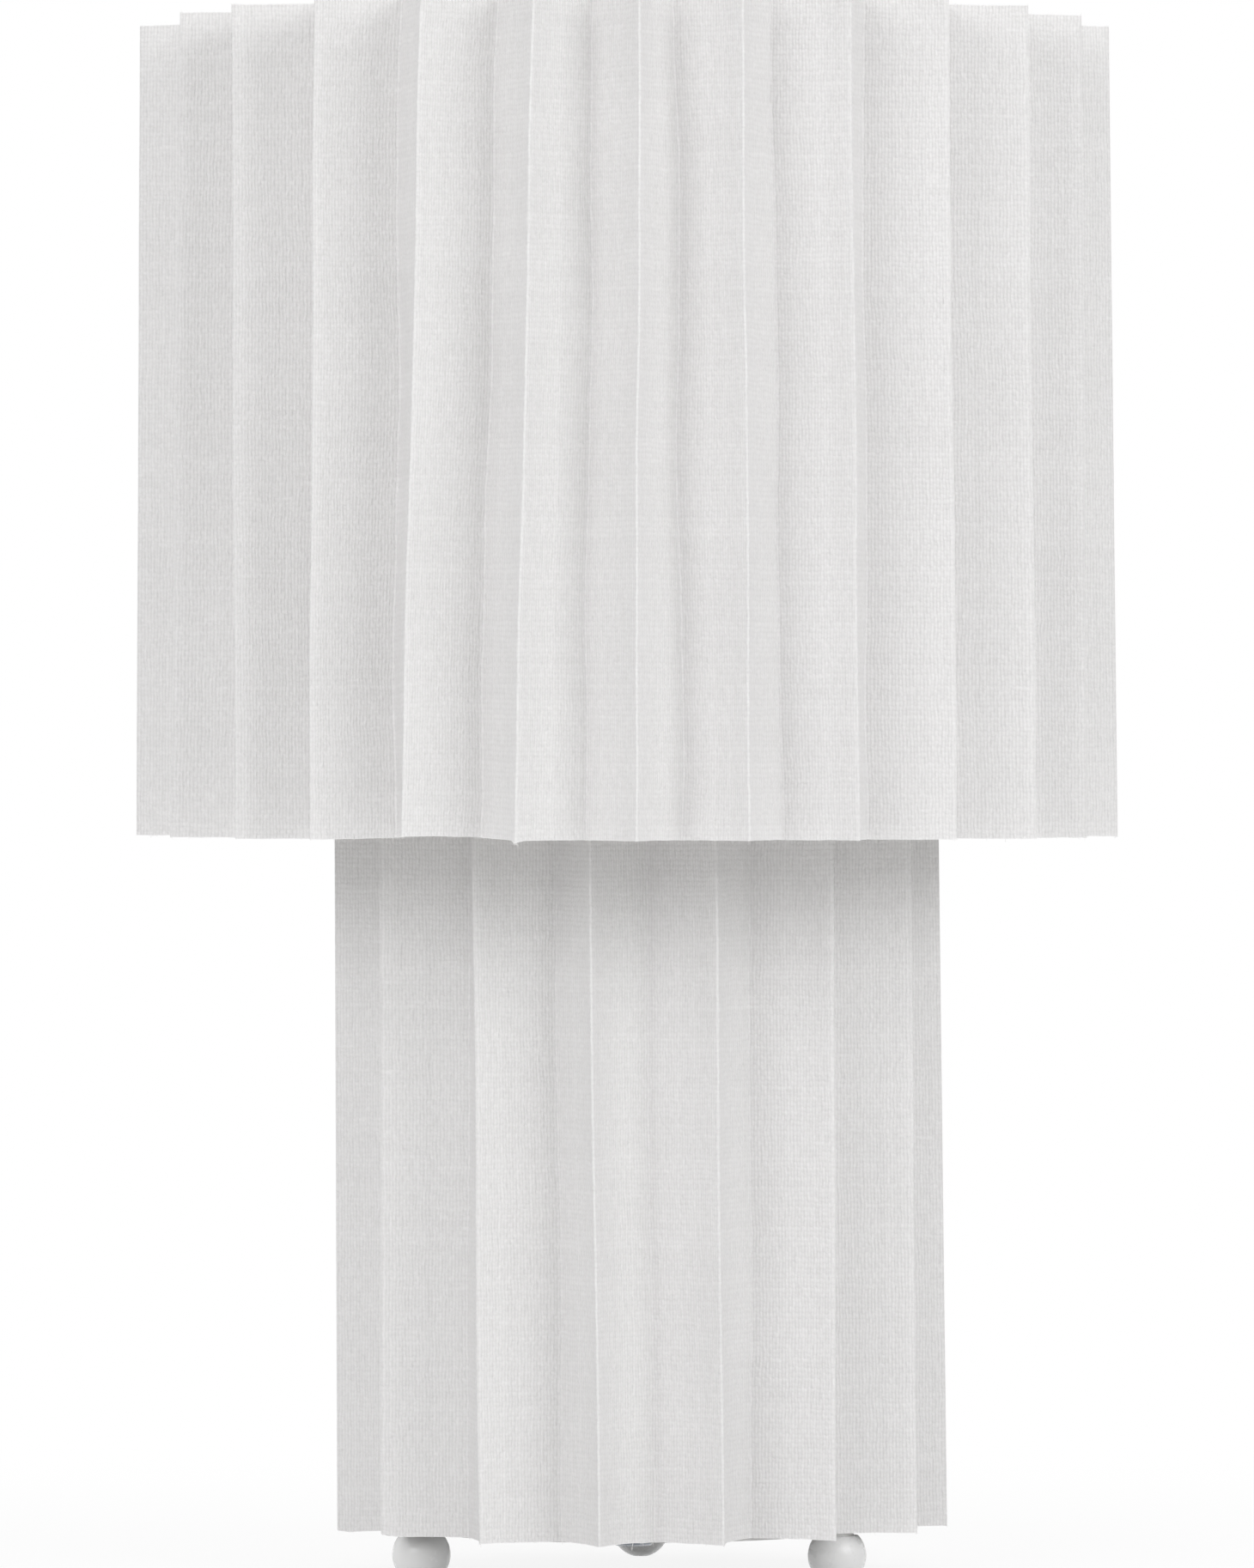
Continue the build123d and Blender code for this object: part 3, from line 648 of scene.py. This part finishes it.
def laminate(name, sheet, columns, offset, body, closed):
    """A solid of the laminate's thickness on the sheet's middle surface, with its two coordinate maps."""
    vertices = []
    for distance in (sheet_half + offset, offset - sheet_half):
        shifted = sheet["places"] + sheet["outward"] * distance
        grid = np.concatenate([shifted, sheet["level"][..., None]], axis=-1)
        vertices.append(grid[:, columns].reshape(-1, 3))
    high = len(sheet["rows"])
    wide = len(columns)
    spans = wide if closed else wide - 1
    second = high * wide
    face_rows, face_columns = np.meshgrid(np.arange(high - 1), np.arange(spans), indexing="ij")
    low_left = (face_rows * wide + face_columns).ravel()
    low_right = (face_rows * wide + (face_columns + 1) % wide).ravel()
    front = np.stack([low_left, low_right, low_right + wide, low_left + wide], axis=1)
    back = front[:, ::-1] + second
    span = np.arange(spans)
    after = (span + 1) % wide
    top = (high - 1) * wide
    lower_edge = np.stack([span + second, after + second, after, span], axis=1)
    upper_edge = np.stack([top + span, top + after, top + after + second, top + span + second], axis=1)
    faces = [front, back, lower_edge, upper_edge]
    kinds = [0] * len(front) + [1] * len(back) + [2] * (2 * spans)
    if not closed:
        rise = np.arange(high - 1) * wide
        for end, order in ((0, 1), (wide - 1, -1)):
            near = rise + end
            far = near + wide
            faces.append(np.stack([near, far, far + second, near + second], axis=1)[:, ::order])
            kinds += [2] * len(rise)
    faces = np.concatenate(faces)
    piece = new_piece(name, np.concatenate(vertices).tolist(), faces.tolist(), cover_faces, body)
    mesh = piece.data
    mesh.polygons.foreach_set("material_index", kinds)
    mesh.set_sharp_from_angle(angle=sharp_edge)
    column_of = faces % second % wide
    row_of = faces % second // wide
    along = sheet["unrolled"][columns][column_of]
    if closed:
        wrapped = (column_of == 0) & (column_of.max(axis=1, keepdims=True) == wide - 1)
        along = np.where(wrapped, sheet["unrolled"][-1], along)
    cloth = mesh.uv_layers.new(name="cloth")
    cloth.data.foreach_set("uv", np.stack([along, sheet["rows"][row_of]], axis=-1).ravel())
    crease = sheet["to_crease"][columns][column_of]
    margins = mesh.uv_layers.new(name="margins")
    margins.data.foreach_set("uv", np.stack([crease, sheet["to_rim"][row_of]], axis=-1).ravel())
    return piece


def whole_cover(name, sheet, body):
    return laminate(name, sheet, np.arange(sheet["places"].shape[1]), 0.0, body, True)


def seam_lap(name, sheet, pleat, body):
    """The sheet's end, lapped over its start on a facet of that pleat."""
    start = pleat * sheet["per_pleat"] + outer_fold_steps
    return laminate(name, sheet, np.arange(start, start + lap_columns), lap_lift, body, False)


fibre_sides = 5
fibre_joints = 5
fibre_thickness = (0.03 * mm, 0.085 * mm)
fibre_length = (0.15 * mm, 0.55 * mm)
fibre_root = 0.1 * mm  # how far a fibre starts inside the rim
fibre_slant = 0.45
fibre_curl = 0.5
fibre_taper = 0.5
ring_tilt = 0.25


def yarn_ends(name, sheet, row, downwards, count, luck, tufts, body):
    """Short bent fibres along a cut rim. A tuft is a column, how many more there and how much longer."""
    wide = sheet["places"].shape[1]
    at = [(int(luck.integers(wide)), 1.0) for _ in range(count)]
    for column, many, longer in tufts:
        at += [(int(column + luck.integers(-2, 3)) % wide, longer) for _ in range(many)]
    vertices = []
    faces = []
    for column, longer in at:
        thick = luck.uniform(*fibre_thickness)
        length = luck.uniform(*fibre_length) * longer
        off_middle = luck.uniform(-0.5, 1.0) * sheet_half
        start = sheet["places"][row, column] + sheet["outward"][row, column] * off_middle
        root = np.array([*start, sheet["level"][row, column] - downwards * fibre_root])
        lean = luck.normal(0, fibre_slant, 3)
        lean[2] = downwards
        curl = luck.normal(0, fibre_curl, 3)
        base = len(vertices)
        for joint in range(fibre_joints):
            share = joint / (fibre_joints - 1)
            point = root + (lean * share + curl * share * share) * length
            around = thick * (1 - fibre_taper * joint / fibre_joints)
            for corner in range(fibre_sides):
                angle = 2 * pi * corner / fibre_sides
                spoke = np.array([cos(angle), sin(angle), ring_tilt * sin(angle)])
                vertices.append(tuple(point + around * spoke))
        for joint in range(fibre_joints - 1):
            for corner in range(fibre_sides):
                low = base + joint * fibre_sides
                after = (corner + 1) % fibre_sides
                low_pair = (low + corner, low + after)
                faces.append((*low_pair, low_pair[1] + fibre_sides, low_pair[0] + fibre_sides))
        tip = base + (fibre_joints - 1) * fibre_sides
        faces.append([base + corner for corner in reversed(range(fibre_sides))])
        faces.append([tip + corner for corner in range(fibre_sides)])
    return new_piece(name, vertices, faces, [fibre], body)


column_low, column_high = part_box("column_cover")
column_cover = {
    "pleats": 15,
    "turned": -8.9,
    "low": column_low.z,
    "high": column_high.z,
    "rows": 46,
    "radii": (79.0 * mm, 78.2 * mm),
    "depth": 18.2 * mm,
    "lean": (2.3 * mm, 0.7 * mm),
    "upper_rim": (0.0, 0.0, 0.0),
    "lower_rim": [(-86, 12, -0.9 * mm), (32, 18, 0.5 * mm), (62, 14, 0.5 * mm)],
    "worn_folds": [(-3, -0.9 * mm, 5 * mm), (-3, 1.3 * mm, 0.6 * mm), (-2, 1.1 * mm, 0.9 * mm)],
    "bow": -1.0 * mm,
    "hollow_facets": {0: -1.2 * mm, 1: -0.9 * mm},
    "wave": 0.2 * mm,
    "back_drift": 1.6,
    "outer_drift": {
        -3: (-2.7, -2.4), -2: (0.6, 0.8), -1: (3.0, 1.5), 0: (2.7, 0.5),
        1: (1.5, 0.2), 2: (0.6, 1.0), 3: (0.4, 1.0), 4: (0, 0),
    },
    "inner_drift": {-1: (3.9, 1.7), 0: (2.2, -0.2), 1: (2.5, 2.2)},
    "outer_wander": [(0.13, 0.15)],
    "inner_wander": [(0.12, 0.35)],
    "facet_wander": [(0.09, 0.22 * mm)],
}
column_seam_pleat = 7
column_luck = np.random.default_rng(15)
column_sheet = pleated_sheet(column_cover, column_luck)
column_linen = whole_cover("column_linen", column_sheet, "base")
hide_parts("column_cover")
column_seam = seam_lap("column_seam_lap", column_sheet, column_seam_pleat, "base")
front_valley = column_sheet["per_pleat"] // 2 - 1
front_tuft = [(front_valley, 8, 3.0)]
column_fibres = 150
column_fray = yarn_ends(
    "column_frayed_rim", column_sheet, 0, -1, column_fibres, column_luck, front_tuft, "base"
)

# Beads of hot-melt glue hold the base's inner folds to the edges of the two plates.
# They are milky and a little glossy, and each one is different.
glue = hard_finish(
    "hot_melt_glue",
    colour=(0.72, 0.69, 0.62),
    blotch_colour=(0.66, 0.63, 0.55),
    gloss=(0.22, 0.35),
    grains=500.0,
    grain_depth=0.03 * mm,
    marks=0.0,
    Subsurface_Weight=0.3,
    Subsurface_Scale=1.0 * mm,
)
plate_bead = 1.7 * mm
plate_bead_squash = (0.9, 1.5, 0.8)  # outward, along the edge and up
bead_unevenness = 0.25
bead_lumps = 2.2  # how closely a bead's lumps follow each other
bead_sizes = (0.85, 1.15)  # the smallest and the largest, against the size they are given
sunk_in_edge = 0.6 * mm


def blobs(name, places, size, squash, uneven, luck, material, body):
    """Small uneven beads, such as glue or weld metal, as one piece."""
    shape = bmesh.new()
    bmesh.ops.create_icosphere(shape, subdivisions=2, radius=1.0)
    ball = np.array([vertex.co for vertex in shape.verts])
    sides = [[vertex.index for vertex in face.verts] for face in shape.faces]
    shape.free()
    vertices = []
    faces = []
    for x, y, z in places:
        outward = np.array([x, y, 0.0]) / np.hypot(x, y)
        across = np.array([-outward[1], outward[0], 0.0])
        axes = np.stack([outward * squash[0], across * squash[1], np.array([0.0, 0.0, squash[2]])])
        waves = np.sin(ball @ luck.normal(0, bead_lumps, (3, 3)))
        lumps = 1 + uneven * waves.sum(axis=1, keepdims=True) / 3
        grown = ball * lumps * size * luck.uniform(*bead_sizes)
        base = len(vertices)
        vertices += (grown @ axes + np.array([x, y, z])).tolist()
        faces += [[base + index for index in face] for face in sides]
    return new_piece(name, vertices, faces, [material], body)


def fold_places(sheet, level, low, radius):
    """A point at each inner fold at that level, as far from the axis as radius. low is the sheet's foot."""
    row = int(abs(sheet["rows"] - (level - low)).argmin())
    return [(radius * sin(angle), -radius * cos(angle), level) for angle in sheet["angle_inner"][row]]


plate_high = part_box("bottom_plate")[1]
top_low, top_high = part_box("top_plate")
plate_glue = []
for level in (plate_high.z, top_low.z):
    plate_glue += fold_places(column_sheet, level, column_low.z, top_high.x - sunk_in_edge)
blobs(
    "column_glue", plate_glue, plate_bead, plate_bead_squash, bead_unevenness,
    column_luck, glue, "base",
)

# The top plate keeps the base's upper rim round and carries the bulb holder.
# It is punched steel too, in the same powder coating, and is glued to the cover's inner folds.
dress(powder_coat, "top_plate")

# The threaded tube runs up the axis and ties the plates together, and the cord goes through it.
# Its nuts and its washer clamp the bottom plate, the ballast and the top plate.
thread_pitch = 1.0 * mm
thread_depth = 0.6 * mm


def threaded(material, name):
    """The same finish with a screw thread cut in it, as rings of bump."""
    cut = material.copy()
    cut.name = name
    tree = cut.node_tree
    place = add_node(tree, "ShaderNodeTexCoord", {}).outputs["Object"]
    parts = add_node(tree, "ShaderNodeSeparateXYZ", {"Vector": place}).outputs
    turns = maths(tree, "DIVIDE", maths(tree, "ARCTAN2", parts["Y"], parts["X"]), 2 * pi)
    climb = maths(tree, "ADD", maths(tree, "DIVIDE", parts["Z"], thread_pitch), turns)
    ridge = maths(tree, "PINGPONG", climb, 0.5)
    bump = add_node(tree, "ShaderNodeBump", {"Height": ridge, "Distance": thread_depth})
    feed(tree, tree.nodes["Principled BSDF"].inputs["Normal"], bump.outputs["Normal"])
    return cut


dress(threaded(zinc_plating, "zinc_plated_thread"), "stem_tube")
dress(zinc_plating, "stem_washer", "stem_nut_bottom", "ballast_nut")
dress(zinc_plating, "top_plate_nut_lower", "top_plate_nut_upper")

# The cord's bushing snaps into the bottom plate, and the bulb holder's cap and skirt are moulded too.
# All are white plastic with a satin skin from the mould. A plated grub screw locks the cap on the tube.
moulded_plastic = hard_finish(
    "white_moulded_plastic",
    colour=(0.76, 0.755, 0.735),
    blotch_colour=(0.73, 0.725, 0.70),
    gloss=(0.26, 0.4),
    grains=700.0,
    grain_depth=0.015 * mm,
    dust=0.3,
    marks=0.3,
)
dress(moulded_plastic, "cord_bushing", "holder_cap", "holder_skirt")
dress(zinc_plating, "holder_grub_screw")

# Inside the holder a ceramic block carries the terminals, a sprung brass tongue and the screw shell.
# The block is pressed and glazed. The brass is rolled strip, bent or formed to shape.
ceramic = hard_finish(
    "glazed_ceramic",
    colour=(0.74, 0.73, 0.69),
    blotch_colour=(0.66, 0.64, 0.59),
    gloss=(0.2, 0.45),
    grains=600.0,
    grain_depth=0.05 * mm,
    marks=0.1,
)
rolled_brass = hard_finish(
    "rolled_brass",
    colour=(0.78, 0.57, 0.27),
    blotch_colour=(0.62, 0.43, 0.19),
    gloss=(0.18, 0.42),
    grains=500.0,
    grain_depth=0.01 * mm,
    marks=0.6,
    Metallic=1.0,
)
dress(ceramic, "terminal_block")
dress(rolled_brass, "terminal_screws", "centre_contact", "thread_shell")

# The shade's frame is 3 mm wire: two rings, three struts and three arms to the ring on the holder.
# The wires are welded, and the whole frame is then powder coated, weld beads included.
dress(powder_coat, "fitter_ring", "spider_arms", "shade_struts", "shade_ring_bottom", "shade_ring_top")
wire_half = 1.5 * mm
weld_bead = 2.0 * mm
weld_squash = (1.0, 1.15, 0.95)
weld_unevenness = 0.2
inside_ring = 1.3 * wire_half  # from the ring's outer side to a bead's middle
arm_angles = [radians(60), radians(180), radians(300)]
ring_low, ring_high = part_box("shade_ring_bottom")
top_ring_low, top_ring_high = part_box("shade_ring_top")
arm_low, arm_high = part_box("spider_arms")
fitter_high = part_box("fitter_ring")[1]
ring_level = (ring_low.z + ring_high.z) / 2
top_ring_level = (top_ring_low.z + top_ring_high.z) / 2
arm_level = (arm_low.z + arm_high.z) / 2
weld_spots = [
    (ring_high.x - inside_ring, ring_level),
    (top_ring_high.x - inside_ring, top_ring_level),
    (arm_high.y - wire_half, arm_level),
    (fitter_high.x - wire_half, arm_level),
]
welds = [(radius * sin(turn), -radius * cos(turn), z) for turn in arm_angles for radius, z in weld_spots]
shade_luck = np.random.default_rng(28)
blobs(
    "frame_weld_beads", welds, weld_bead, weld_squash, weld_unevenness,
    shade_luck, powder_coat, "shade",
)

# The shade's cover is the same laminate in 28 pleats, glued at its inner folds to the two rings.
# It is open above and below, and light that falls in at the top shines a little through it.
# Its sheet too has raw rims and a lap at the back, and the tip of one fold in front is torn.
shade_low, shade_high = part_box("shade_cover")
shade_cover = {
    "pleats": 28,
    "turned": 0.85,
    "low": shade_low.z,
    "high": shade_high.z,
    "rows": 50,
    "radii": (127.2 * mm, 125.55 * mm),
    "depth": 18.9 * mm,
    "lean": (-1.75 * mm, -2.35 * mm),
    "upper_rim": (2.3 * mm, 0.9 * mm, -0.4 * mm),
    "lower_rim": [(-26, 8, 1.0 * mm), (-84, 18, 0.3 * mm)],
    "worn_folds": [(-1, -0.6 * mm, 2.0 * mm)],
    "bow": -1.0 * mm,
    "hollow_facets": {},
    "wave": 0.2 * mm,
    "back_drift": 1.2,
    "outer_drift": {
        -8: (-2.0, -2.5), -7: (-4.5, -5.0), -6: (-5.5, -6.0), -5: (-2.3, -0.6), -4: (-0.4, -1.8),
        -3: (-1.3, -1.0), -2: (-1.9, 0.3), -1: (-1.3, 0.7), 0: (-0.6, -0.1), 1: (-0.5, -1.2),
        2: (-0.2, -0.9), 3: (0.5, -0.2), 4: (1.6, 1.1), 5: (1.3, 2.2), 6: (5.5, 5.0), 7: (3.0, 3.0),
        8: (1.0, 1.0),
    },
    "inner_drift": {
        -8: (-2.5, -3.0), -7: (-4.5, -5.0), -6: (-4.0, -3.5), -5: (-1.5, -1.5), -4: (-1.0, -1.5),
        -3: (-2.1, -1.8), -2: (-2.3, 0.1), -1: (-0.8, 0.3), 0: (-0.8, -1.7), 1: (-0.2, -1.4),
        2: (-0.3, -0.6), 3: (1.0, 0.5), 4: (1.5, 1.6), 5: (3.5, 3.5), 6: (4.0, 4.0), 7: (2.0, 2.0),
    },
    "outer_wander": [(0.13, 0.12), (0.06, 0.04)],
    "inner_wander": [(0.12, 0.35), (0.05, 0.1)],
    "facet_wander": [(0.09, 0.22 * mm), (0.04, 0.06 * mm)],
}
shade_seam_pleat = 13
torn_pleat = 27
shade_sheet = pleated_sheet(shade_cover, shade_luck)
shade_linen = whole_cover("shade_linen", shade_sheet, "shade")
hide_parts("shade_cover")
shade_seam = seam_lap("shade_seam_lap", shade_sheet, shade_seam_pleat, "shade")
torn_tip = [(torn_pleat * shade_sheet["per_pleat"] + outer_fold_steps // 2, 10, 2.2)]
lower_fibres = 320
upper_fibres = 300
shade_fray = yarn_ends("shade_frayed_rim", shade_sheet, 0, -1, lower_fibres, shade_luck, torn_tip, "shade")
shade_fray_top = yarn_ends("shade_frayed_top", shade_sheet, -1, 1, upper_fibres, shade_luck, [], "shade")

# Dots of the same hot-melt glue hold each inner fold of the shade to the two wire rings.
# They are smaller than the beads on the plates and stand higher than they are deep.
ring_bead = 1.35 * mm
ring_bead_squash = (0.75, 1.5, 1.25)
off_ring_side = 0.2 * mm
ring_glue = fold_places(shade_sheet, ring_level, shade_low.z, ring_high.x - off_ring_side)
ring_glue += fold_places(shade_sheet, top_ring_level, shade_low.z, top_ring_high.x - off_ring_side)
blobs(
    "shade_glue", ring_glue, ring_bead, ring_bead_squash, bead_unevenness,
    shade_luck, glue, "shade",
)

# The notched clamp nut screws down on the holder's skirt and holds the shade's ring.
# It is moulded in the same white plastic as the holder.
dress(moulded_plastic, "shade_clamp_nut")

# The bulb is opal glass, blown and coated inside, cemented into an aluminium screw cap.
# A black glass button at the bottom of the cap holds the brass centre contact.
opal_glass = hard_finish(
    "opal_glass",
    colour=(0.91, 0.91, 0.90),
    blotch_colour=(0.89, 0.89, 0.88),
    gloss=(0.12, 0.24),
    grains=120.0,
    grain_depth=0.01 * mm,
    dust=0.12,
    marks=0.1,
    Coat_Weight=0.6,
    Coat_Roughness=0.04,
)
rolled_aluminium = hard_finish(
    "rolled_aluminium",
    colour=(0.72, 0.72, 0.73),
    blotch_colour=(0.58, 0.58, 0.60),
    gloss=(0.22, 0.45),
    grains=800.0,
    grain_depth=0.01 * mm,
    marks=0.6,
    Metallic=1.0,
)
black_glass = hard_finish(
    "black_glass",
    colour=(0.012, 0.012, 0.014),
    blotch_colour=(0.022, 0.02, 0.02),
    gloss=(0.1, 0.3),
    grains=700.0,
    grain_depth=0.02 * mm,
    marks=0.1,
)
dress(opal_glass, "bulb_glass")
dress(rolled_aluminium, "bulb_cap")
dress(black_glass, "bulb_insulator")
dress(rolled_brass, "bulb_contact")

# The floor is a plain white board that runs on far behind the lamp. It keeps the lamp's soft shadow.
# Away from the lamp it looks as white as the backdrop.
floor_half = 4.0
board_tones = ((0.97, 0.97, 0.97), (0.985, 0.985, 0.985))
board_clouds = 3.0  # per metre
shadow_within = 0.1  # from the axis
white_beyond = 0.5
white_in_shadow = 0.88


def looking_rays(tree):
    """1 for rays that look at something, also in a mirror or through glass, and 0 for rays that light it."""
    kinds = tree.nodes.new("ShaderNodeLightPath").outputs
    mirrored = maths(tree, "MAXIMUM", kinds["Is Glossy Ray"], kinds["Is Transmission Ray"])
    return maths(tree, "MAXIMUM", kinds["Is Camera Ray"], mirrored)


floor_mesh = bpy.data.meshes.new("floor")
floor_corners = [(floor_half * x, floor_half * y, 0) for x, y in ((-1, -1), (1, -1), (1, 1), (-1, 1))]
floor_mesh.from_pydata(floor_corners, [], [(0, 1, 2, 3)])
floor = bpy.data.objects.new("floor", floor_mesh)
lamp.objects.link(floor)
board = bpy.data.materials.new("white_board")
board.use_nodes = True
floor_mesh.materials.append(board)
tree = board.node_tree
shader = tree.nodes["Principled BSDF"]
place = add_node(tree, "ShaderNodeTexCoord", {}).outputs["Object"]
mottle = between(tree, clouds(tree, place, board_clouds), 0.3, 0.7)
feed(tree, shader.inputs["Base Color"], mixed_colour(tree, mottle, *board_tones))
shader.inputs["Roughness"].default_value = 0.9
shader.inputs["Specular IOR Level"].default_value = 0.0
white = add_node(tree, "ShaderNodeEmission", {"Color": (1, 1, 1, 1), "Strength": 1.0})
away = add_node(tree, "ShaderNodeVectorMath", {0: place}, operation="LENGTH").outputs["Value"]
whiteness = between(tree, away, shadow_within, white_beyond, white_in_shadow, 1.0)
both = tree.nodes.new("ShaderNodeMixShader")
feed(tree, both.inputs[0], maths(tree, "MULTIPLY", looking_rays(tree), whiteness))
tree.links.new(shader.outputs[0], both.inputs[1])
tree.links.new(white.outputs[0], both.inputs[2])
tree.links.new(both.outputs[0], tree.nodes["Material Output"].inputs["Surface"])

# Even light comes from all round. Two softboxes stand in front, a little above the lamp, and a weaker
# one hangs over it. Rays that look at the backdrop itself find plain white.
light_level = 0.575
softbox_distance = 3.0
softbox_size = (1.7, 1.3)
softboxes = {  # degrees from the front towards the right, degrees up, and watts
    "softbox_left": (-32, 22, 19.2),
    "softbox_right": (43, 22, 21.8),
    "softbox_above": (0, 90, 17.0),
}
world = bpy.data.worlds.new("studio")
world.use_nodes = True
bpy.context.scene.world = world
tree = world.node_tree
strength = add_node(tree, "ShaderNodeMix", {0: looking_rays(tree), 2: light_level, 3: 1.0}).outputs[0]
backdrop = tree.nodes["Background"]
feed(tree, backdrop.inputs["Color"], (1.0, 1.0, 1.0, 1.0))
feed(tree, backdrop.inputs["Strength"], strength)
lamp_middle = Vector((0, 0, eye_height))
for name, (aside, above, watts) in softboxes.items():
    data = bpy.data.lights.new(name, "AREA")
    data.shape = "RECTANGLE"
    data.size, data.size_y = softbox_size
    data.energy = watts
    made = bpy.data.objects.new(name, data)
    out = softbox_distance * cos(radians(above))
    up = softbox_distance * sin(radians(above))
    made.location = lamp_middle + Vector((out * sin(radians(aside)), -out * cos(radians(aside)), up))
    made.rotation_euler = (lamp_middle - made.location).to_track_quat("-Z", "Y").to_euler()
    lamp.objects.link(made)
bpy.context.scene.view_settings.view_transform = "Standard"
